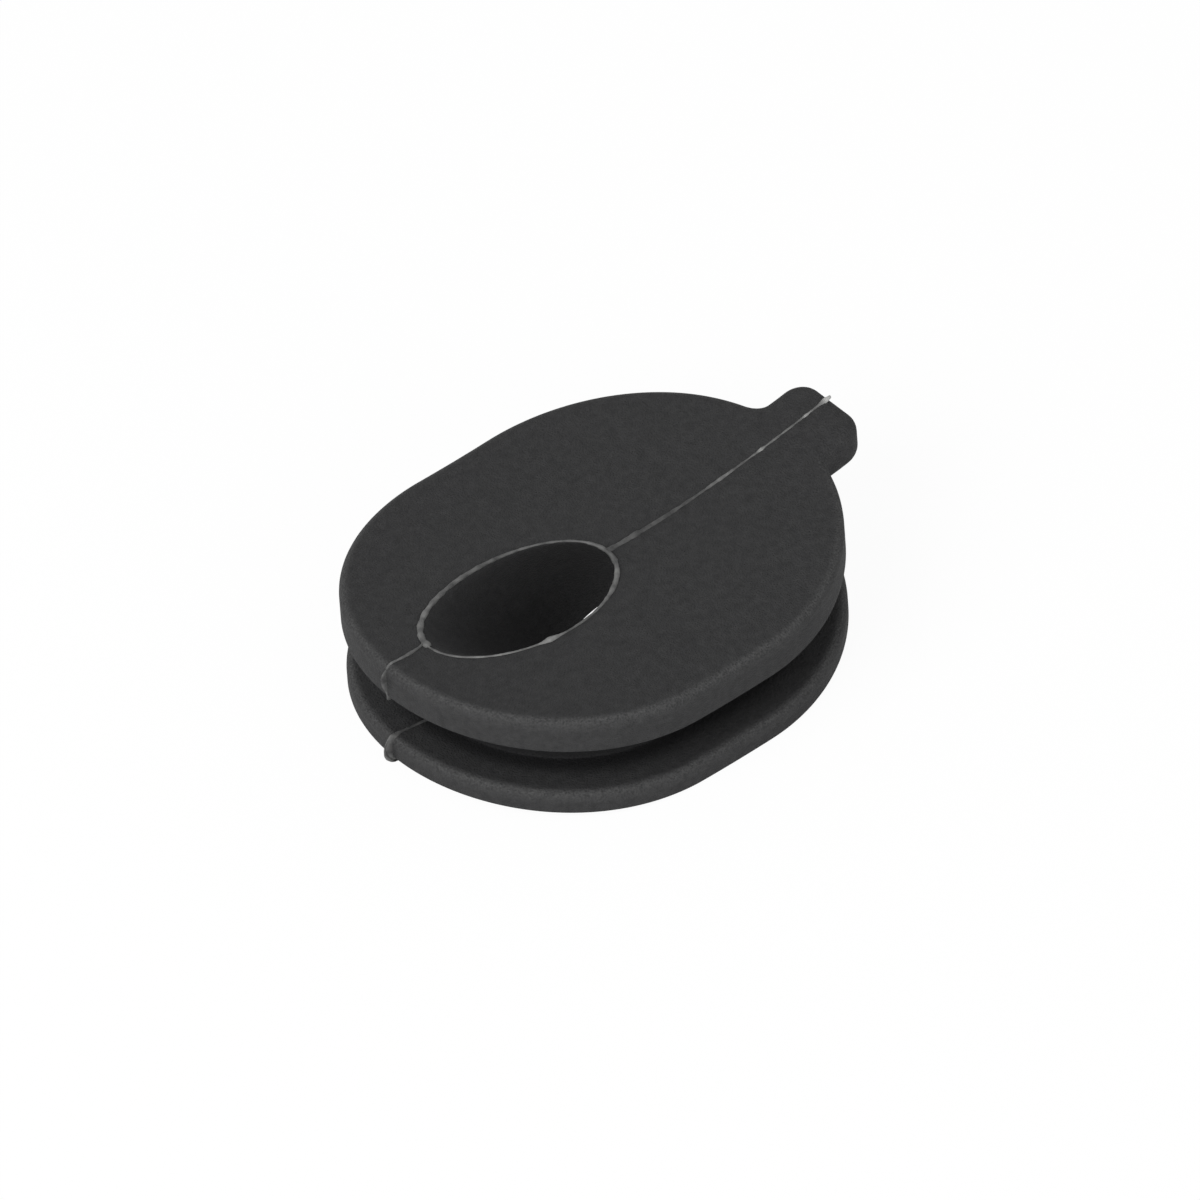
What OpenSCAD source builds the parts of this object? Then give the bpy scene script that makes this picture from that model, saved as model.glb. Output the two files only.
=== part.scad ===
// Rubber cable grommet for a panel or a frame port: two oval flanges bent gently along
// their length, a groove between them for the panel's edge, a slanted round cable bore
// and a short flat nub at the back end. The mould's parting plane is the X-Z plane.
// Millimetres, +Z up, +X towards the nub.

/* [Flanges] */
// Width of the upper flange, across the part
flange_w = 16; // [12:0.5:24]
// Length of the bent middle between the two half-round ends
middle_l = 3.3; // [2:0.05:10]
// Angle by which each half-round end is bent up
bend_deg = 4.6; // [1:0.1:9]
// Thickness of the upper flange
upper_t = 1.5; // [1:0.05:3]
// Thickness of the lower flange
lower_t = 0.95; // [0.7:0.05:2]
// How far the lower flange's edge lies inside the upper one's
lower_inset = 0.1; // [0:0.05:0.6]
// Radius of the upper edge of both flanges
edge_r = 0.4; // [0.2:0.05:0.6]
// Radius of the lower edge of both flanges
under_r = 0.1; // [0.05:0.05:0.3]

/* [Panel groove] */
// Gap between the flanges, which takes the panel's thickness
groove_gap = 2.1; // [1:0.05:4]
// Depth of the groove below the upper flange's edge
groove_depth = 2.2; // [1:0.1:2.8]

/* [Cable bore] */
// Diameter of the bore
bore_d = 4.8; // [3:0.1:5.6]
// Slant of the bore from upright, going down towards the nub
bore_slant = 51; // [35:1:56]
// How far in front of the flange's centre the bore's axis meets the top face
bore_front = 3.35; // [2:0.05:4]
// Width of the raised lip round the bore's upper mouth
lip_w = 0.16; // [0.08:0.02:0.3]
// Height of the raised lip
lip_h = 0.1; // [0.04:0.02:0.2]

/* [Nub] */
// Width of the nub, a flat tab with fully round sides
nub_w = 3.8; // [2.5:0.1:6]
// Thickness of the nub
nub_t = 1.6; // [1:0.05:2.4]
// Length of the nub beyond the flange's edge, along its axis
nub_l = 1.7; // [1:0.05:5]
// How far the nub is tilted up from the end of the flange
nub_tilt = 2.5; // [1:0.5:8]
// How far the nub's top stands above the flange at the flange's edge
nub_rise = 0.12; // [0.05:0.01:0.3]
// Radius of the nub's end edge
nub_end_r = 0.3; // [0.1:0.05:0.45]

/* [Mould flash] */
// Width of the parting ridge on the top face and the nub
ridge_w = 0.14; // [0.08:0.02:0.3]
// Height of the parting ridge
ridge_h = 0.06; // [0.03:0.01:0.15]
// Thickness of the flash tab on the upper flange's front
upper_tab_t = 0.18; // [0.1:0.02:0.4]
// Reach of the flash tab beyond the upper flange's front edge
upper_tab_out = 0.35; // [0.1:0.05:0.6]
// Thickness of the flash tab on the lower flange's front
lower_tab_t = 0.32; // [0.15:0.02:0.5]
// Reach of the flash tab beyond the lower flange's front edge
lower_tab_out = 0.5; // [0.1:0.05:0.7]
// Height of the lower tab above the lower flange
lower_tab_rise = 0.3; // [0.1:0.05:0.6]

/* [Hidden] */
$fn = 64;
// Half-widths of the flanges and of the core inside the groove
upper_r = flange_w / 2;
lower_r = upper_r - lower_inset;
core_r = upper_r - groove_depth;
// Height of the upper flange's underside over the lower flange's underside
upper_z = lower_t + groove_gap;
// Radius of the bend, measured at the underside of each flange
bend_r = middle_l / 2 / sin(bend_deg);
// Rise of a flange's underside at the far edge of its middle
end_z = bend_r * (1 - cos(bend_deg));
nub_r = nub_t / 2;
// Distance of the nub's side rounds from its middle
nub_side = nub_w / 2 - nub_r;
// Height of the nub's axis at the flange's edge, over the upper flange's underside
nub_z = upper_t + nub_rise - nub_r / cos(nub_tilt);
bore_r = bore_d / 2;
// Height of the top face where the bore's axis meets it
bore_z = upper_z + upper_t + (bore_front - middle_l / 4) * tan(bend_deg);
// Reach of cutters and clipping shapes past the part
past = flange_w + middle_l;
// Depth by which added shapes are sunk into the body
sink = 0.4;
// Ends of the part along X, from the flange's centre
nub_up = bend_deg + nub_tilt;
back_x = middle_l / 2 + upper_r * cos(bend_deg) - nub_z * sin(bend_deg)
    + (nub_l + ridge_h - nub_end_r) * cos(nub_up)
    + (nub_r + ridge_h - nub_end_r) * sin(nub_up) + nub_end_r;
front_x = middle_l / 2 + (lower_r + lower_tab_out) * cos(bend_deg) - lower_t * 0.7 * sin(bend_deg);
// The row's origin is the middle of the part's length
centre_x = (back_x - front_x) / 2;

// Draws the given half profile right across: bent along X in the middle, half round at both ends
module bent() {
    translate([0, 0, bend_r]) {
        rotate([90, 0, 0])
            rotate([0, 0, -90 - bend_deg])
                rotate_extrude(angle = 2 * bend_deg)
                    translate([bend_r, 0])
                        union() {
                            rotate(90)
                                children();
                            mirror([0, 1])
                                rotate(90)
                                    children();
                        }
        for (turn = [0, 180])
            rotate([0, 0, turn])
                rotate([0, -bend_deg, 0])
                    translate([0, 0, -bend_r])
                        rotate([0, 0, -90])
                            rotate_extrude(angle = 180)
                                children();
    }
}

// Moves into the frame of the back end (turn 0) or the front end (turn 180) of a flange:
// X runs out along the bent-up end, Z is square to it and 0 is the underside
module at_end(turn) {
    rotate([0, 0, turn])
        translate([middle_l / 2, 0, end_z])
            rotate([0, -bend_deg, 0])
                children();
}

// What is left of a square corner when it is rounded
module corner_waste(r) {
    difference() {
        square(r + sink);
        circle(r);
    }
}

// Half of a flange's cross-section, with both edges rounded
module flange_half(r, t) {
    difference() {
        square([r, t]);
        translate([r - edge_r, t - edge_r])
            corner_waste(edge_r);
        translate([r - under_r, under_r])
            mirror([0, 1])
                corner_waste(under_r);
    }
}

module lower_flange() {
    bent()
        flange_half(lower_r, lower_t);
}

module upper_flange() {
    translate([0, 0, upper_z])
        bent()
            flange_half(upper_r, upper_t);
}

// The core that the two flanges stand out from
module core() {
    bent()
        translate([0, lower_t / 2])
            square([core_r, groove_gap + lower_t / 2 + upper_t / 2]);
}

// Moves to the nub's axis, with Z running out along it from the upper flange's edge
module at_nub() {
    translate([0, 0, upper_z])
        at_end(0)
            translate([upper_r, 0, nub_z])
                rotate([0, 90 - nub_tilt, 0])
                    children();
}

// Half of the nub's lengthwise section, with the end's edge rounded
module nub_half(grow) {
    difference() {
        translate([0, -groove_depth / 2])
            square([nub_r + grow, nub_l + grow + groove_depth / 2]);
        translate([nub_r + grow - nub_end_r, nub_l + grow - nub_end_r])
            corner_waste(nub_end_r);
    }
}

module nub_body(grow) {
    rotate([90, 0, 0])
        linear_extrude(2 * nub_side, center = true)
            union() {
                nub_half(grow);
                mirror([1, 0])
                    nub_half(grow);
            }
    for (turn = [0, 180])
        rotate([0, 0, turn])
            translate([0, nub_side, 0])
                rotate_extrude(angle = 180)
                    nub_half(grow);
}

// The nub keeps out of the groove
module nub() {
    difference() {
        at_nub()
            nub_body(0);
        bent()
            square([upper_r, upper_z]);
    }
}

// The fine ridge that the mould's parting line leaves on the top face and on the nub
module parting_ridge() {
    intersection() {
        translate([-past, -ridge_w / 2, 0])
            cube([2 * past, ridge_w, past]);
        union() {
            translate([0, 0, upper_z])
                bent()
                    translate([0, upper_t - sink])
                        square([upper_r - edge_r, sink + ridge_h]);
            difference() {
                at_nub()
                    nub_body(ridge_h);
                bent()
                    square([upper_r, upper_z]);
            }
        }
    }
}

// The torn flash that the parting line leaves on the front edge of each flange
module upper_tab() {
    translate([0, 0, upper_z])
        at_end(180)
            rotate([90, 0, 0])
                translate([upper_r, 0, -upper_tab_t / 2])
                    linear_extrude(upper_tab_t)
                        polygon([
                            [-2 * edge_r, upper_t - sink],
                            [-2 * edge_r, upper_t + ridge_h],
                            [-edge_r / 2, upper_t + ridge_h],
                            [upper_tab_out, upper_t * 0.68],
                            [upper_tab_out / 3, 0],
                            [-sink, under_r]
                        ]);
}

module lower_tab() {
    at_end(180)
        rotate([90, 0, 0])
            translate([lower_r, 0, -lower_tab_t / 2])
                linear_extrude(lower_tab_t)
                    polygon([
                        [-groove_depth, lower_t - sink],
                        [-groove_depth, lower_t + lower_tab_rise / 3],
                        [0, lower_t + lower_tab_rise],
                        [lower_tab_out, lower_t * 0.7],
                        [lower_tab_out / 2, lower_t * 0.1],
                        [-sink, under_r]
                    ]);
}

// The thin raised lip round the bore's upper mouth
module bore_lip() {
    intersection() {
        bore_rod(bore_r + lip_w);
        translate([0, 0, upper_z])
            bent()
                translate([0, upper_t - sink])
                    square([upper_r - edge_r, sink + lip_h]);
    }
}

// A rod along the slanted bore
module bore_rod(r) {
    translate([-bore_front, 0, bore_z])
        rotate([0, -bore_slant, 0])
            cylinder(h = 2 * past, r = r, center = true);
}

module grommet() {
    color([0.05, 0.05, 0.052])
        translate([-centre_x, 0, 0])
            difference() {
                union() {
                    lower_flange();
                    core();
                    upper_flange();
                    nub();
                    parting_ridge();
                    upper_tab();
                    lower_tab();
                    bore_lip();
                }
                bore_rod(bore_r);
            }
}

grommet();
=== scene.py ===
import math

import bpy
import numpy as np
from mathutils import Matrix, Vector


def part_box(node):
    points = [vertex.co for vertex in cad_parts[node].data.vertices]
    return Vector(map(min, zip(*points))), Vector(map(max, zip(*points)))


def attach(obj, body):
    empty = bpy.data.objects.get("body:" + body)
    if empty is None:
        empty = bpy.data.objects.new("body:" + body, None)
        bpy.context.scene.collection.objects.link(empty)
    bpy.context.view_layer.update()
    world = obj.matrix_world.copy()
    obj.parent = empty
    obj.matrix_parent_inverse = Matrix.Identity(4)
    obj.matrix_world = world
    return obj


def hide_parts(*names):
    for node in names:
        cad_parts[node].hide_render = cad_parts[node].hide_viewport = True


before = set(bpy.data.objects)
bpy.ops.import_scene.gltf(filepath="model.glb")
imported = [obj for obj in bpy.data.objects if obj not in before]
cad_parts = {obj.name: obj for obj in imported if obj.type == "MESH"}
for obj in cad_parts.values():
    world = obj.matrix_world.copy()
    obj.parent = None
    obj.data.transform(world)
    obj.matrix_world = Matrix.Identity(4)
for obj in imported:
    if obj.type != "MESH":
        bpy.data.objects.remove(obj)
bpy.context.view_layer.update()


# Moulded body
# One piece of soft black rubber: two oval flanges bent along their length, the core between them, a slanted
# cable bore and a flat nub. It was cured in a two-part mould, which left a fine even grain on every face.
mm = 0.001
flange_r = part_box("grommet")[1].y
middle_half = 1.64 * mm
bend_r = 59.1 * mm
flange_centre = Vector((-0.7035, 0, 0)) * mm
upper_t = 1.5 * mm
lower_t = 0.95 * mm
groove_gap = 2.1 * mm
groove_depth = 2.2 * mm
lower_inset = 0.06 * mm
edge_r = 0.4 * mm
under_r = 0.1 * mm
under_w = 1.5 * under_r
rim_w = 0.82 * mm
core_hollow = 0.08 * mm
upper_z = lower_t + groove_gap
lower_r = flange_r - lower_inset
core_r = flange_r - groove_depth

bore_r = 2.4 * mm
bore_slant = math.radians(51)
bore_front = 3.2 * mm
bore_aside = 0.14 * mm
bore_edge = 0.06 * mm
bore_ease = 0.3 * bore_edge
bore_top = Vector((-bore_front, bore_aside, upper_z + upper_t + bore_front ** 2 / (2 * bend_r)))
bore_way = Vector((math.sin(bore_slant), 0, -math.cos(bore_slant)))
bore_side = Vector((math.cos(bore_slant), 0, math.sin(bore_slant)))

nub_w = 3.7 * mm
nub_t = 1.52 * mm
nub_l = 1.95 * mm
nub_round = 0.6 * mm
nub_under_r = 0.32 * mm
nub_corner_r = 0.95 * mm
nub_corner_least = 0.1 * nub_corner_r
nub_root_r = 0.6 * mm
nub_lean = 0.1 * mm
nub_end = middle_half + flange_r + nub_l
lean_start = middle_half + 0.8 * flange_r
lean_run = 0.3 * flange_r
root_y = nub_w / 2 + nub_root_r
root_x = middle_half + math.sqrt((flange_r + nub_root_r) ** 2 - root_y ** 2)
root_turn = math.asin(root_y / (flange_r + nub_root_r))
# Angle on a plain oval that takes the points of the nub's end, corner and side
nub_turn = 0.09
# Size of the plain oval that the top face spreads out to before it takes the nub's outline
around_r = 0.8 * flange_r

# Points on each stretch of half the outline, from the nub's end round to the front
end_n, corner_n, side_n, root_n, back_n, straight_n, front_n = 16, 12, 14, 14, 66, 26, 82
tab_n = end_n + corner_n + side_n + root_n
half_n = tab_n + back_n + straight_n + front_n
ring_n = 2 * half_n
# Rings on each stretch of the skin, from the bore's mouth over the edges and back through the bore
top_n, brim_n, rim_n, wall_n, under_n, hollow_n, core_n = 18, 8, 14, 5, 8, 5, 6
lower_face_n, lower_wall_n, underside_n, bore_n = 7, 3, 24, 22


def smooth(t):
    t = np.clip(t, 0, 1)
    return t * t * (3 - 2 * t)


def straight(start, end, count):
    return np.linspace(start, end, count, endpoint=False)


def arc(centre, r, start, end, count):
    turn = np.linspace(start, end, count, endpoint=False)
    return np.column_stack((centre[0] + r * np.cos(turn), centre[1] + r * np.sin(turn)))


def both_sides(half, front):
    """A closed outline from its half on the +Y side and its front point."""
    return np.vstack((half, [front], half[:0:-1] * (1, -1)))


def oval(r):
    """A plain flange outline, flat, with its points in step with the nub's outline."""
    return both_sides(
        np.vstack((
            arc((middle_half, 0), r, 0, nub_turn, tab_n - root_n),
            arc((middle_half, 0), r, nub_turn, root_turn, root_n),
            arc((middle_half, 0), r, root_turn, math.pi / 2, back_n),
            straight((middle_half, r), (-middle_half, r), straight_n),
            arc((-middle_half, 0), r, math.pi / 2, math.pi, front_n),
        )),
        (-middle_half - r, 0),
    )


def oval_with_nub(inset):
    """The upper flange's outline with the nub, drawn in by inset."""
    r = flange_r - inset
    side = nub_w / 2 - inset
    end = nub_end - inset
    corner = max(nub_corner_r - inset, nub_corner_least)
    return both_sides(
        np.vstack((
            straight((end, 0), (end, side - corner), end_n),
            arc((end - corner, side - corner), corner, 0, math.pi / 2, corner_n),
            straight((end - corner, side), (root_x, side), side_n),
            arc((root_x, root_y), nub_root_r + inset, 1.5 * math.pi, math.pi + root_turn, root_n),
            arc((middle_half, 0), r, root_turn, math.pi / 2, back_n),
            straight((middle_half, r), (-middle_half, r), straight_n),
            arc((-middle_half, 0), r, math.pi / 2, math.pi, front_n),
        )),
        (-middle_half - r, 0),
    )


def rise(x):
    """How far the bend lifts a flange at a distance from its middle."""
    return x * x / (2 * bend_r)


def bent(flat, height, lift):
    """Places flat points, at a height over the flange's underside, on the bent flange."""
    return np.column_stack((flat, lift + height + rise(flat[:, 0])))


def rounding(inset, r):
    """How far a rounded edge of radius r falls away at an inset from its outline."""
    into = np.maximum(r - inset, 0)
    return r - np.sqrt(np.maximum(r * r - into * into, 0))


def on_bore(r, along):
    """A ring round the bore's axis: its radius and its place along it may differ from point to point."""
    r = np.reshape(r, (-1, 1))
    turn = np.arange(ring_n) * 2 * math.pi / ring_n
    return (
        np.array(bore_top)
        + np.outer(along, bore_way)
        + r * np.outer(np.cos(turn), bore_side)
        + r * np.outer(np.sin(turn), (0, 1, 0))
    )


def bore_reach(r, height):
    """How far along the bore's axis a tube of radius r meets a bent face at that height."""
    search, halvings = 12 * mm, 50
    low, high = np.full(ring_n, -search), np.full(ring_n, search)
    for _ in range(halvings):
        middle = (low + high) / 2
        point = on_bore(r, middle)
        above = point[:, 2] > height + rise(point[:, 0])
        low, high = np.where(above, middle, low), np.where(above, high, middle)
    return (low + high) / 2


def between(first, last, count):
    """Rings spaced evenly between two rings, without either of them."""
    return [first + (last - first) * k / (count + 1) for k in range(1, count + 1)]


def loft(name, rings):
    """A closed skin of quads through rings that come back to the first one."""
    points = np.vstack(rings)
    count = len(rings)
    row, col = np.divmod(np.arange(count * ring_n), ring_n)
    next_row, next_col = (row + 1) % count, (col + 1) % ring_n
    quads = np.column_stack((
        row * ring_n + col, next_row * ring_n + col, next_row * ring_n + next_col, row * ring_n + next_col,
    ))
    mesh = bpy.data.meshes.new(name)
    mesh.from_pydata((points + np.array(flange_centre)).tolist(), [], quads.tolist())
    mesh.polygons.foreach_set("use_smooth", np.ones(len(quads), bool))
    mesh.update()
    piece = bpy.data.objects.new(name, mesh)
    bpy.context.scene.collection.objects.link(piece)
    return piece


# Places of the rings along a rounded edge, closest together at the outline
insets = rim_w * (1 - np.cos(np.linspace(0, math.pi / 2, rim_n)))
# How far each point of a ring belongs to the nub: 1 on it, falling to 0 along its root
nub_share = np.concatenate((
    np.ones(tab_n - root_n), 1 - smooth(np.linspace(0, 1, root_n)), np.zeros(half_n - tab_n + 1),
))
nub_share = np.concatenate((nub_share, nub_share[half_n - 1:0:-1]))


def upper_ring(inset, face):
    """A ring on the upper flange's top (face 0) or underside (face 1), at an inset from its outline."""
    flat = oval_with_nub(inset)
    flat[:, 1] -= nub_lean * smooth((flat[:, 0] - lean_start) / lean_run)
    flange = (upper_t - rounding(inset, edge_r), rounding(inset, under_r))[face]
    nub = (upper_t - rounding(inset, nub_round), upper_t - nub_t + rounding(inset, nub_under_r))[face]
    return flat, flange + (nub - flange) * nub_share


rings = []

# Top face, from the bore's mouth out to the rounded edge
top_z = upper_z + upper_t
mouth = on_bore(bore_r + bore_edge, bore_reach(bore_r + bore_edge, top_z))
mouth_flat = mouth[:, :2]
around_flat = oval(around_r)
brim_flat, brim_height = upper_ring(insets[-1], 0)
for flat in [mouth_flat] + between(mouth_flat, around_flat, top_n) + [around_flat]:
    rings.append(bent(flat, upper_t, upper_z))
for k, flat in enumerate(between(around_flat, brim_flat, brim_n)):
    rings.append(bent(flat, upper_t + (brim_height - upper_t) * smooth((k + 1) / brim_n), upper_z))
rims = []
for inset in insets[::-1]:
    rims.append((len(rings), inset))
    rings.append(bent(*upper_ring(inset, 0), upper_z))

# Wall of the upper flange and its underside, in to the core
rings += between(rings[-1], bent(*upper_ring(0, 1), upper_z), wall_n)
for inset in insets:
    rings.append(bent(*upper_ring(inset, 1), upper_z))
brim_flat, brim_height = upper_ring(insets[-1], 1)
groove_row = len(rings)
for k, flat in enumerate(between(brim_flat, oval(core_r + core_hollow), under_n)):
    rings.append(bent(flat, brim_height * smooth(1 - 2 * k / under_n), upper_z))

# Core, hollowed softly into both flanges
hollow_turns = np.linspace(0, math.pi / 2, hollow_n)
for turn in hollow_turns:
    flat = oval(core_r + core_hollow * (1 - math.sin(turn)))
    rings.append(bent(flat, -core_hollow * (1 - math.cos(turn)), upper_z))
foot = bent(oval(core_r), lower_t + core_hollow, 0)
rings += between(rings[-1], foot, core_n)
for turn in hollow_turns[::-1]:
    flat = oval(core_r + core_hollow * (1 - math.sin(turn)))
    rings.append(bent(flat, lower_t + core_hollow * (1 - math.cos(turn)), 0))

# Lower flange: its upper face, rounded edge, wall and underside
for flat in between(oval(core_r + core_hollow), oval(lower_r - insets[-1]), lower_face_n):
    rings.append(bent(flat, lower_t, 0))
lower_rim_row = len(rings)
for inset in insets[::-1]:
    rims.append((len(rings), inset))
    rings.append(bent(oval(lower_r - inset), lower_t - rounding(inset, edge_r), 0))
rings += between(rings[-1], bent(oval(lower_r), under_r, 0), lower_wall_n)
for inset in insets[insets < under_w]:
    rings.append(bent(oval(lower_r - inset), rounding(inset, under_r), 0))
exit_flat = on_bore(bore_r + bore_edge, bore_reach(bore_r + bore_edge, 0))[:, :2]
for flat in between(oval(lower_r - under_w), exit_flat, underside_n) + [exit_flat]:
    rings.append(bent(flat, 0, 0))

# Bore, with both mouths eased
bore_row = len(rings)
bore_exit = bore_reach(bore_r, 0)
bore_entry = bore_reach(bore_r, top_z)
rings.append(on_bore(bore_r + bore_ease, bore_exit - bore_ease))
rings.append(on_bore(bore_r, bore_exit - bore_edge))
rings += between(rings[-1], on_bore(bore_r, bore_entry + bore_edge), bore_n)
rings.append(on_bore(bore_r, bore_entry + bore_edge))
rings.append(on_bore(bore_r + bore_ease, bore_entry + bore_ease))

body = loft("moulded_body", rings)

# Painted highlight along the rounded rims: how much lighter grey each point gets, most a little in from each
# rim's outline where the light catches it, none on the nub
highlight_at = 0.4 * edge_r
highlight_half = 0.35 * edge_r
rim_painted_highlight = np.zeros(len(rings))
for row, inset in rims:
    rim_painted_highlight[row] = math.exp(-((inset - highlight_at) / highlight_half) ** 2)
painted_highlight = body.data.attributes.new("painted_highlight", "FLOAT", "POINT")
painted_highlight.data.foreach_set("value", np.outer(rim_painted_highlight, 1 - nub_share).ravel())

# Painted shade: how much blacker the rubber is painted at each point, deep in the groove and in the bore,
# where shade falls
groove_painted_shade = 0.8
bore_painted_shade = 0.35
painted_shade_ramp = 6
painted_shade = np.zeros(len(rings))
for first, last, most in (
    (groove_row, lower_rim_row, groove_painted_shade), (bore_row, len(rings), bore_painted_shade),
):
    depth = np.linspace(0, 1, last - first)
    painted_shade[first:last] = most * smooth(painted_shade_ramp * np.minimum(depth, 1 - depth))
painted_shade_attribute = body.data.attributes.new("painted_shade", "FLOAT", "POINT")
painted_shade_attribute.data.foreach_set("value", np.repeat(painted_shade, ring_n))

deep_black = (0.021, 0.021, 0.0215, 1)
dull_black = (0.035, 0.035, 0.0355, 1)
# Lighter grey of the painted highlight along the rims
painted_highlight_grey = (0.07, 0.07, 0.07, 1)
# Near-black of the painted shade in the groove and the bore
painted_shade_black = (0.008, 0.008, 0.0085, 1)
grains_per_metre = 12000
clouds_per_metre = 3000
grain_depth = 0.08 * mm
rubber = bpy.data.materials.new("black_rubber")
rubber.use_nodes = True
nodes, links = rubber.node_tree.nodes, rubber.node_tree.links
shader = nodes["Principled BSDF"]
shader.inputs["Specular IOR Level"].default_value = 0.12
place = nodes.new("ShaderNodeTexCoord")
grain = nodes.new("ShaderNodeTexNoise")
grain.inputs["Scale"].default_value = grains_per_metre
grain.inputs["Detail"].default_value = 3
cloud = nodes.new("ShaderNodeTexNoise")
cloud.inputs["Scale"].default_value = clouds_per_metre
cloud.inputs["Detail"].default_value = 6
cloud.inputs["Roughness"].default_value = 0.7
tone = nodes.new("ShaderNodeValToRGB")
tone.color_ramp.elements[0].position = 0.3
tone.color_ramp.elements[0].color = deep_black
tone.color_ramp.elements[1].position = 0.7
tone.color_ramp.elements[1].color = dull_black
# Painted highlight along the rims, speckled by the grain and mixed over the rubber's tone
painted_highlight_input = nodes.new("ShaderNodeAttribute")
painted_highlight_input.attribute_name = "painted_highlight"
speck = nodes.new("ShaderNodeMapRange")
speck.inputs["From Min"].default_value = 0.3
speck.inputs["From Max"].default_value = 0.8
highlight_amount = nodes.new("ShaderNodeMath")
highlight_amount.operation = "MULTIPLY"
colour = nodes.new("ShaderNodeMix")
colour.data_type = "RGBA"
colour.inputs["B"].default_value = painted_highlight_grey
# Painted shade: the rubber is mixed towards near-black in the groove and the bore
painted_shade_input = nodes.new("ShaderNodeAttribute")
painted_shade_input.attribute_name = "painted_shade"
painted_shade_mix = nodes.new("ShaderNodeMix")
painted_shade_mix.data_type = "RGBA"
painted_shade_mix.inputs["B"].default_value = painted_shade_black
gloss = nodes.new("ShaderNodeMapRange")
gloss.inputs["To Min"].default_value = 0.6
gloss.inputs["To Max"].default_value = 0.8
bump = nodes.new("ShaderNodeBump")
bump.inputs["Strength"].default_value = 0.9
bump.inputs["Distance"].default_value = grain_depth
links.new(place.outputs["Object"], grain.inputs["Vector"])
links.new(place.outputs["Object"], cloud.inputs["Vector"])
links.new(cloud.outputs["Fac"], tone.inputs["Fac"])
links.new(grain.outputs["Fac"], speck.inputs["Value"])
links.new(speck.outputs["Result"], highlight_amount.inputs[0])
links.new(painted_highlight_input.outputs["Fac"], highlight_amount.inputs[1])
links.new(highlight_amount.outputs["Value"], colour.inputs["Factor"])
links.new(tone.outputs["Color"], colour.inputs["A"])
links.new(painted_shade_input.outputs["Fac"], painted_shade_mix.inputs["Factor"])
links.new(colour.outputs["Result"], painted_shade_mix.inputs["A"])
links.new(painted_shade_mix.outputs["Result"], shader.inputs["Base Color"])
links.new(grain.outputs["Fac"], gloss.inputs["Value"])
links.new(gloss.outputs["Result"], shader.inputs["Roughness"])
links.new(grain.outputs["Fac"], bump.inputs["Height"])
links.new(bump.outputs["Normal"], shader.inputs["Normal"])
body.data.materials.append(rubber)
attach(body, "root")
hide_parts("grommet")


# Flash at the bore's mouths
# Thin torn skin of the same rubber, where the mould's core pin met its two halves. At the upper mouth it
# stands up as an uneven pale ring with a few lumps. At the lower mouth it lines the bore and narrows it.
flash_black = (0.016, 0.016, 0.0165, 1)
flash_pale = (0.42, 0.42, 0.41, 1)
wisps_in_colour = 2500
flash = bpy.data.materials.new("torn_flash")
flash.use_nodes = True
nodes, links = flash.node_tree.nodes, flash.node_tree.links
shader = nodes["Principled BSDF"]
shader.inputs["Roughness"].default_value = 0.6
shader.inputs["Specular IOR Level"].default_value = 0.35
place = nodes.new("ShaderNodeTexCoord")
wisps = nodes.new("ShaderNodeTexNoise")
wisps.inputs["Scale"].default_value = wisps_in_colour
wisps.inputs["Detail"].default_value = 4
torn = nodes.new("ShaderNodeAttribute")
torn.attribute_name = "pale"
paleness = nodes.new("ShaderNodeMath")
paleness.operation = "MULTIPLY"
tone = nodes.new("ShaderNodeValToRGB")
tone.color_ramp.elements[0].position = 0.1
tone.color_ramp.elements[0].color = flash_black
tone.color_ramp.elements[1].position = 1.0
tone.color_ramp.elements[1].color = flash_pale
links.new(place.outputs["Object"], wisps.inputs["Vector"])
links.new(wisps.outputs["Fac"], paleness.inputs[0])
links.new(torn.outputs["Fac"], paleness.inputs[1])
links.new(paleness.outputs["Value"], tone.inputs["Fac"])
links.new(tone.outputs["Color"], shader.inputs["Base Color"])


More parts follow.
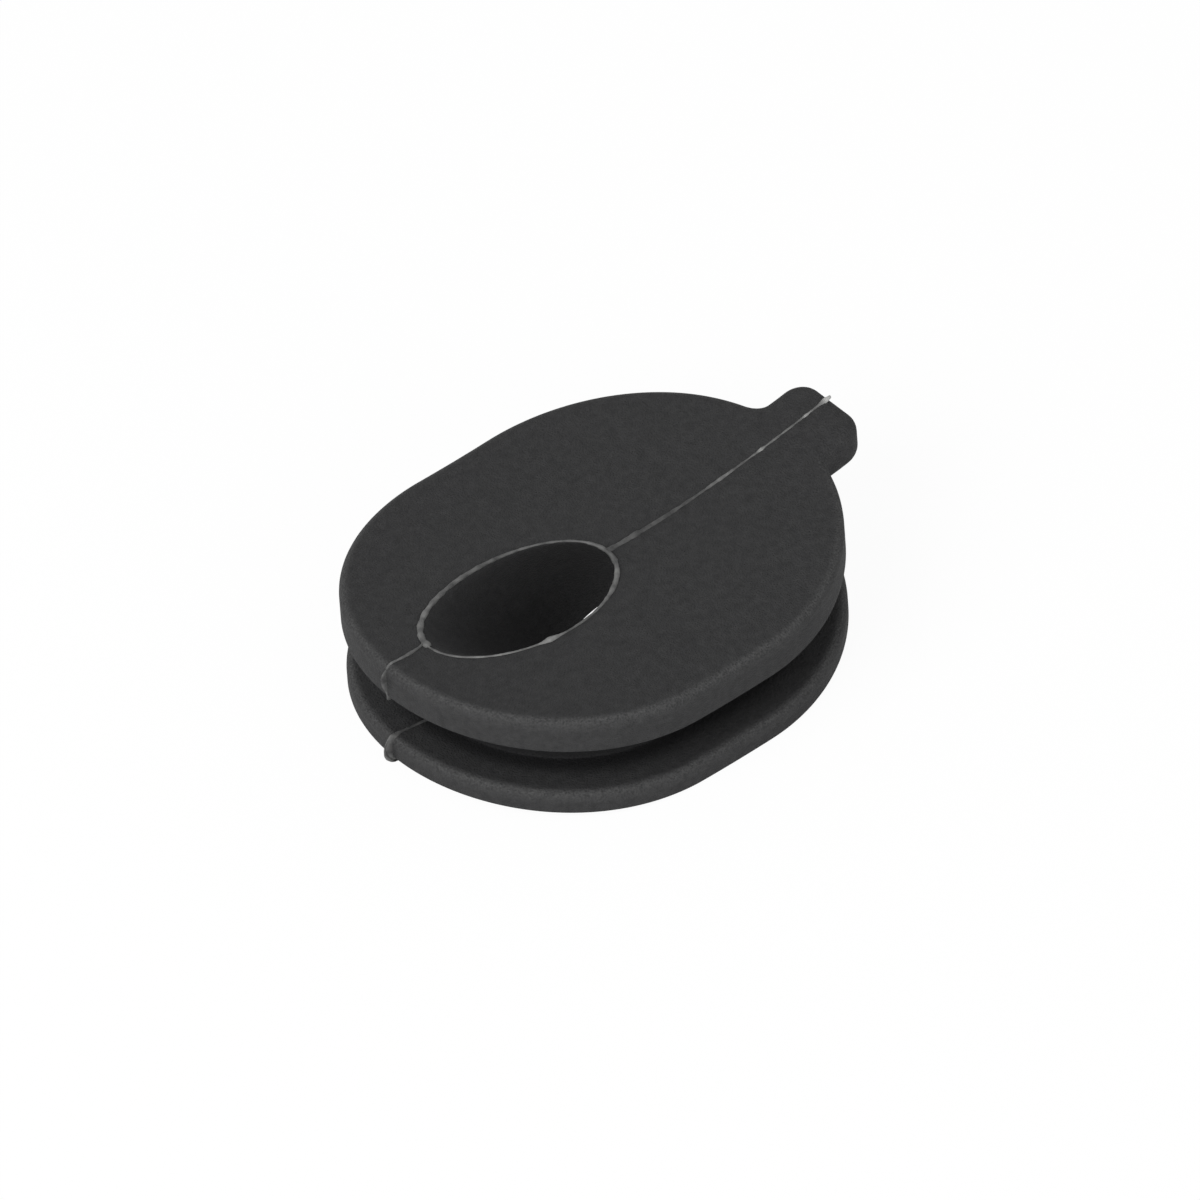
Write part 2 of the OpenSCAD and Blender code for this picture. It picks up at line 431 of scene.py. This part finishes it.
def flash_tree():
    """Sweeps a flattened bead along a path: the path's own swell, times noise, sets its size."""
    tree = bpy.data.node_groups.new("flash_along_path", "GeometryNodeTree")
    sockets = {}
    for name, kind in (
        ("Geometry", "NodeSocketGeometry"), ("Thickness", "NodeSocketFloat"), ("Height", "NodeSocketFloat"),
        ("Unevenness", "NodeSocketFloat"), ("Wisps per metre", "NodeSocketFloat"),
    ):
        sockets[name] = tree.interface.new_socket(name=name, in_out="INPUT", socket_type=kind)
    tree.interface.new_socket(name="Geometry", in_out="OUTPUT", socket_type="NodeSocketGeometry")
    nodes, links = tree.nodes, tree.links
    entry = nodes.new("NodeGroupInput")
    result = nodes.new("NodeGroupOutput")
    path = nodes.new("GeometryNodeMeshToCurve")
    facing = nodes.new("GeometryNodeSetCurveNormal")
    facing.mode = "FREE"
    out = nodes.new("GeometryNodeInputNamedAttribute")
    out.data_type = "FLOAT_VECTOR"
    out.inputs["Name"].default_value = "out"
    swell = nodes.new("GeometryNodeInputNamedAttribute")
    swell.data_type = "FLOAT"
    swell.inputs["Name"].default_value = "swell"
    spot = nodes.new("GeometryNodeInputPosition")
    noise = nodes.new("ShaderNodeTexNoise")
    noise.inputs["Detail"].default_value = 3
    spread = nodes.new("ShaderNodeMath")
    spread.operation = "MULTIPLY_ADD"
    spread.inputs[2].default_value = 1
    low = nodes.new("ShaderNodeMath")
    low.operation = "SUBTRACT"
    low.inputs[1].default_value = 0.5
    size = nodes.new("ShaderNodeMath")
    size.operation = "MULTIPLY"
    bead = nodes.new("GeometryNodeCurvePrimitiveCircle")
    bead.inputs["Resolution"].default_value = 10
    bead.inputs["Radius"].default_value = 0.5
    form = nodes.new("ShaderNodeCombineXYZ")
    form.inputs["Z"].default_value = 1
    flatten = nodes.new("GeometryNodeTransform")
    sweep = nodes.new("GeometryNodeCurveToMesh")
    sweep.inputs["Fill Caps"].default_value = True
    shade = nodes.new("GeometryNodeSetShadeSmooth")
    whole = nodes.new("GeometryNodeRealizeInstances")
    finish = nodes.new("GeometryNodeSetMaterial")
    finish.inputs["Material"].default_value = flash
    links.new(entry.outputs["Geometry"], path.inputs["Mesh"])
    links.new(path.outputs["Curve"], facing.inputs["Curve"])
    links.new(out.outputs["Attribute"], facing.inputs["Normal"])
    links.new(spot.outputs["Position"], noise.inputs["Vector"])
    links.new(entry.outputs["Wisps per metre"], noise.inputs["Scale"])
    links.new(noise.outputs["Fac"], low.inputs[0])
    links.new(low.outputs["Value"], spread.inputs[0])
    links.new(entry.outputs["Unevenness"], spread.inputs[1])
    links.new(spread.outputs["Value"], size.inputs[0])
    links.new(swell.outputs["Attribute"], size.inputs[1])
    links.new(size.outputs["Value"], sweep.inputs["Scale"])
    links.new(entry.outputs["Height"], form.inputs["X"])
    links.new(entry.outputs["Thickness"], form.inputs["Y"])
    links.new(bead.outputs["Curve"], flatten.inputs["Geometry"])
    links.new(form.outputs["Vector"], flatten.inputs["Scale"])
    links.new(facing.outputs["Curve"], sweep.inputs["Curve"])
    links.new(flatten.outputs["Geometry"], sweep.inputs["Profile Curve"])
    links.new(sweep.outputs["Mesh"], shade.inputs["Geometry"])
    links.new(shade.outputs["Geometry"], whole.inputs["Geometry"])
    links.new(whole.outputs["Geometry"], finish.inputs["Geometry"])
    links.new(finish.outputs["Geometry"], result.inputs["Geometry"])
    return tree, sockets


flash_along_path, flash_sockets = flash_tree()


def flash_piece(name, points, out, swell, pale, closed=False, **sizes):
    """A strip of flash along points on the body, with its way out, swell and paleness at each point."""
    count = len(points)
    mesh = bpy.data.meshes.new(name)
    edges = [(k, (k + 1) % count) for k in range(count if closed else count - 1)]
    mesh.from_pydata((points + np.array(flange_centre)).tolist(), edges, [])
    out = np.broadcast_to(np.asarray(out, float), (count, 3))
    mesh.attributes.new("out", "FLOAT_VECTOR", "POINT").data.foreach_set("vector", out.ravel())
    mesh.attributes.new("swell", "FLOAT", "POINT").data.foreach_set("value", np.asarray(swell, float))
    mesh.attributes.new("pale", "FLOAT", "POINT").data.foreach_set("value", np.asarray(pale, float))
    piece = bpy.data.objects.new(name, mesh)
    bpy.context.scene.collection.objects.link(piece)
    modifier = piece.modifiers.new("sweep", "NODES")
    modifier.node_group = flash_along_path
    for key, value in sizes.items():
        modifier[flash_sockets[key.replace("_", " ").capitalize()].identifier] = value
    view = bpy.context.evaluated_depsgraph_get()
    swept = bpy.data.meshes.new_from_object(piece.evaluated_get(view))
    piece.modifiers.remove(modifier)
    piece.data = swept
    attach(piece, "root")
    return piece


def lumps(at, places):
    """A row of soft lumps along a path: each has its place, half-width and size."""
    return sum(size * np.exp(-((at - middle) / half) ** 2) for middle, half, size in places)


# The ring's lumps lie at angles round the bore, in degrees from the nub's side
upward = (0, 0, 1)
ring_turn = (np.arange(ring_n) * 360 / ring_n + 180) % 360 - 180
ring_swell = 0.78 + lumps(ring_turn, (
    (160, 38, 1.2), (-38, 20, 1.0), (-99, 4, 1.3), (-5, 20, 0.7), (178, 9, 0.5), (100, 26, 0.6),
))
ring_pale = 0.4 + lumps(ring_turn, (
    (150, 30, 0.2), (-38, 26, 0.2), (-99, 6, 0.45), (-130, 30, 0.25), (60, 40, 0.05),
))
flash_piece(
    "bore_flash", mouth, upward, ring_swell, ring_pale,
    closed=True, thickness=0.12 * mm, height=0.11 * mm, unevenness=1.2, wisps_per_metre=2800,
)

# The skin at the lower mouth is thickest on one side and thins out up the bore
skin_l = 5 * mm
skin_sunk = 0.02 * mm
skin_t = 0.302 * mm * (0.5 + lumps(ring_turn, ((65, 70, 1.3), (20, 9, 0.15))))
skin_steps = np.concatenate(([0, 0.02], np.linspace(0.1, 1, 10)))
skin_rings = []
for step in skin_steps:
    r = bore_r + skin_sunk - (skin_sunk + skin_t) * (1 - smooth(step))
    skin_rings.append(on_bore(r, bore_reach(r, 0) - skin_sunk - step * skin_l))
skin_back_r = bore_r + 3 * skin_sunk
skin_foot = bore_reach(skin_back_r, 0) - 2 * skin_sunk
for step in skin_steps[::-1]:
    skin_rings.append(on_bore(skin_back_r, skin_foot - step * skin_l))
skin = loft("exit_flash", skin_rings)
# The skin in the bore is painted with the bore's shade too
painted_shade_attribute = skin.data.attributes.new("painted_shade", "FLOAT", "POINT")
painted_shade_attribute.data.foreach_set("value", np.full(len(skin.data.vertices), bore_painted_shade))
skin.data.materials.append(rubber)
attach(skin, "root")


# Parting ridge
# The line where the two halves of the mould met, along the middle of the top face, the nub and the front.
# It is a fine raised seam of flash, worn low near the bore and torn up to a pale tip at the nub's end.
ridge_n = 300
ridge_sunk = 0.03 * mm
ridge_short = 0.1 * mm
ridge_aside = 0.12 * mm
aside_run = 4 * mm
ridge_x = np.linspace(mouth[:, 0].max(), nub_end - ridge_short, ridge_n)
ridge_flat = np.column_stack((ridge_x, ridge_aside * smooth(1 - ridge_x / aside_run)))
ridge_swell = 0.9 + lumps(ridge_x / mm, (
    (1.4, 2.9, 1.2), (6.2, 0.7, 0.35), (8.1, 0.12, 0.5), (10.3, 0.12, 0.6), (11.2, 0.2, 0.9),
))
ridge_pale = 0.33 + lumps(ridge_x / mm, (
    (6.2, 0.7, 0.25), (8.1, 0.15, 0.5), (9, 1.8, 0.25), (10.35, 0.2, 0.6), (11.4, 0.3, 1.3),
))
flash_piece(
    "parting_ridge", bent(ridge_flat, upper_t - ridge_sunk, upper_z), upward, ridge_swell, ridge_pale,
    thickness=0.115 * mm, height=0.12 * mm, unevenness=1.2, wisps_per_metre=3000,
)

# In front of the bore the ridge lies to one side, and swings out further where it leaves the bore's ring
front_ridge_n = 60
front_short = 0.06 * mm
front_aside = 0.2 * mm
front_swing = 0.24 * mm
front_edge = -middle_half - flange_r
front_x = np.linspace(mouth[:, 0].min(), front_edge + front_short, front_ridge_n)
front_y = front_aside + front_swing * np.linspace(1, 0, front_ridge_n) ** 3
front_height = upper_t - rounding(front_x - front_edge, edge_r)
flash_piece(
    "front_ridge", bent(np.column_stack((front_x, front_y)), front_height, upper_z), upward,
    np.full(front_ridge_n, 1.1), np.full(front_ridge_n, 0.45),
    thickness=0.11 * mm, height=0.12 * mm, unevenness=1.4, wisps_per_metre=1500,
)


# Torn fins on the front
# Thin blades of flash on the parting line, one on the front edge of each flange. They were torn off by hand
# when the part came out of the mould, so the lower one ends in a rolled bead, with a seam behind it.
corner_cuts = 3


def eased(corners, aside, count):
    """A smooth run of points past a few corners (x, z), in millimetres, at one place across the part."""
    points = np.array(corners) * mm
    for _ in range(corner_cuts):
        cut = np.vstack((0.75 * points[:-1] + 0.25 * points[1:], 0.25 * points[:-1] + 0.75 * points[1:]))
        order = np.argsort(np.tile(np.arange(len(points) - 1), 2), kind="stable")
        points = np.vstack((points[:1], cut[order], points[-1:]))
    reach = np.concatenate(([0], np.cumsum(np.hypot(*np.diff(points, axis=0).T))))
    spots = np.linspace(0, reach[-1], count)
    return np.column_stack((
        np.interp(spots, reach, points[:, 0]), np.full(count, aside), np.interp(spots, reach, points[:, 1]),
    ))


def fin(name, edge, root, pale, thickness):
    """A blade that reaches from its root, inside a flange, out to its torn edge."""
    span = edge - root
    reach = np.linalg.norm(span, axis=1)
    flash_piece(
        name, (edge + root) / 2, span / reach[:, None], reach / reach.max(), np.full(len(edge), pale),
        thickness=thickness, height=reach.max(), unevenness=0.15, wisps_per_metre=1500,
    )


fin_n = 48
upper_edge = eased([
    (-9.3, 5.26), (-9.56, 5.2), (-9.9, 4.92), (-9.84, 4.4), (-9.66, 4.0), (-9.68, 3.63), (-9.45, 3.6),
], front_aside, fin_n)
upper_root = eased([
    (-9.2, 5.0), (-9.3, 4.9), (-9.4, 4.8), (-9.4, 4.5), (-9.4, 4.3), (-9.4, 4.1), (-9.4, 4.0),
], front_aside, fin_n)
fin("upper_fin", upper_edge, upper_root, 0.35, 0.12 * mm)
lower_aside = 0.28 * mm
lower_edge = eased([
    (-9.1, 1.64), (-9.45, 1.88), (-9.7, 1.72), (-9.9, 1.42), (-9.87, 0.97), (-9.6, 0.56), (-9.3, 0.52),
], lower_aside, fin_n)
lower_root = eased([
    (-9.0, 1.4), (-9.1, 1.4), (-9.2, 1.35), (-9.3, 1.3), (-9.3, 1.2), (-9.3, 1.1), (-9.2, 1.0),
], lower_aside, fin_n)
fin("lower_fin", lower_edge, lower_root, 0.4, 0.14 * mm)
forward = (-1, 0, 0)
bead_swell = 0.3 + 0.8 * smooth(np.linspace(-1.2, 1.6, fin_n))
flash_piece(
    "lower_bead", lower_edge, forward, bead_swell, np.full(fin_n, 0.45),
    thickness=0.17 * mm, height=0.17 * mm, unevenness=0.8, wisps_per_metre=2500,
)
seam_n = 60
seam_aside = 0.32 * mm
seam_back = -7.2 * mm
seam_front = -9.45 * mm
seam_x = np.linspace(seam_back, seam_front, seam_n)
seam_flat = np.column_stack((seam_x, np.full(seam_n, seam_aside)))
seam_height = lower_t - rounding(seam_x + middle_half + lower_r, edge_r)
# Its paleness runs from 0.2 at the back, inside the groove, to 0.42 at the front edge: the darker back is
# painted shade under the upper flange
flash_piece(
    "lower_ridge", bent(seam_flat, seam_height, 0), upward,
    np.linspace(0.8, 1.2, seam_n), np.linspace(0.2, 0.42, seam_n),
    thickness=0.085 * mm, height=0.18 * mm, unevenness=1.2, wisps_per_metre=2500,
)


# Camera
# A long lens from the front left, a little over 40 degrees above the part, as in the photograph.
view_az = math.radians(-37.08)
view_el = math.radians(41.82)
view_roll = math.radians(4.305)
view_wide = 43.954 * mm
view_away = 1.5
aim_right = 0.038 * mm
aim_up = 2.026 * mm
back = Vector((
    math.sin(view_az) * math.cos(view_el), -math.cos(view_az) * math.cos(view_el), math.sin(view_el),
))
level = Vector((math.cos(view_az), math.sin(view_az), 0))
upright = back.cross(level)
right = level * math.cos(view_roll) - upright * math.sin(view_roll)
up = level * math.sin(view_roll) + upright * math.cos(view_roll)
camera = bpy.data.objects.new("camera", bpy.data.cameras.new("camera"))
bpy.context.scene.collection.objects.link(camera)
camera.data.lens = camera.data.sensor_width * view_away / view_wide
camera.data.clip_start = 0.01
camera.data.clip_end = 10
camera_place = flange_centre + right * aim_right + up * aim_up + back * view_away
camera_turn = Matrix((right, up, back)).transposed().to_4x4()
camera.matrix_world = Matrix.Translation(camera_place) @ camera_turn
bpy.context.scene.camera = camera


# Studio
# A plain white table top that the part rests on, pale surroundings that are brighter low down, a large soft
# lamp high on the left and a weaker one low on the right.
def seen_directly(nodes, links):
    """1 for rays that show the surroundings themselves: to the camera, in a reflection or through glass."""
    rays = nodes.new("ShaderNodeLightPath")
    shown = rays.outputs["Is Camera Ray"]
    for kind in ("Is Glossy Ray", "Is Transmission Ray"):
        either = nodes.new("ShaderNodeMath")
        either.operation = "MAXIMUM"
        links.new(shown, either.inputs[0])
        links.new(rays.outputs[kind], either.inputs[1])
        shown = either.outputs["Value"]
    return shown


floor_half = 0.6
floor_grey = (0.9, 0.9, 0.9, 1)
floor_white_share = 0.95
floor_mesh = bpy.data.meshes.new("floor")
floor_corners = [(x * floor_half, y * floor_half, 0) for x, y in ((-1, -1), (1, -1), (1, 1), (-1, 1))]
floor_mesh.from_pydata(floor_corners, [], [(0, 1, 2, 3)])
floor = bpy.data.objects.new("floor", floor_mesh)
bpy.context.scene.collection.objects.link(floor)
paper = bpy.data.materials.new("white_table")
paper.use_nodes = True
nodes, links = paper.node_tree.nodes, paper.node_tree.links
nodes.clear()
result = nodes.new("ShaderNodeOutputMaterial")
matt = nodes.new("ShaderNodeBsdfDiffuse")
matt.inputs["Color"].default_value = floor_grey
white = nodes.new("ShaderNodeEmission")
share = nodes.new("ShaderNodeMath")
share.operation = "MULTIPLY"
share.inputs[1].default_value = floor_white_share
mix = nodes.new("ShaderNodeMixShader")
links.new(seen_directly(nodes, links), share.inputs[0])
links.new(share.outputs["Value"], mix.inputs["Fac"])
links.new(matt.outputs["BSDF"], mix.inputs[1])
links.new(white.outputs["Emission"], mix.inputs[2])
links.new(mix.outputs["Shader"], result.inputs["Surface"])
floor_mesh.materials.append(paper)

light_low_down = 0.75
light_overhead = 0.25
world = bpy.data.worlds.new("studio")
bpy.context.scene.world = world
world.use_nodes = True
nodes, links = world.node_tree.nodes, world.node_tree.links
sky = nodes["Background"]
sky.inputs["Color"].default_value = (1, 1, 1, 1)
height_of = nodes.new("ShaderNodeSeparateXYZ")
place = nodes.new("ShaderNodeTexCoord")
tent = nodes.new("ShaderNodeMapRange")
tent.inputs["To Min"].default_value = light_low_down
tent.inputs["To Max"].default_value = light_overhead
level_of = nodes.new("ShaderNodeMix")
level_of.inputs["B"].default_value = 1.0
links.new(place.outputs["Generated"], height_of.inputs["Vector"])
links.new(height_of.outputs["Z"], tent.inputs["Value"])
links.new(seen_directly(nodes, links), level_of.inputs["Factor"])
links.new(tent.outputs["Result"], level_of.inputs["A"])
links.new(level_of.outputs["Result"], sky.inputs["Strength"])

lamp_away = 0.5
lamp_w = 0.35


def soft_lamp(name, az, el, energy):
    """A square diffuser, aimed at the part from a compass direction and an elevation in degrees."""
    az, el = math.radians(az), math.radians(el)
    lamp = bpy.data.objects.new(name, bpy.data.lights.new(name, "AREA"))
    bpy.context.scene.collection.objects.link(lamp)
    lamp.data.size = lamp_w
    lamp.data.energy = energy
    toward = Vector((math.sin(az) * math.cos(el), -math.cos(az) * math.cos(el), math.sin(el)))
    lamp.location = toward * lamp_away
    lamp.rotation_mode = "QUATERNION"
    lamp.rotation_quaternion = toward.to_track_quat("Z", "Y")


soft_lamp("key_lamp", -80, 40, 2.4)
soft_lamp("fill_lamp", -10, 15, 1.1)

bpy.context.scene.view_settings.view_transform = "Standard"
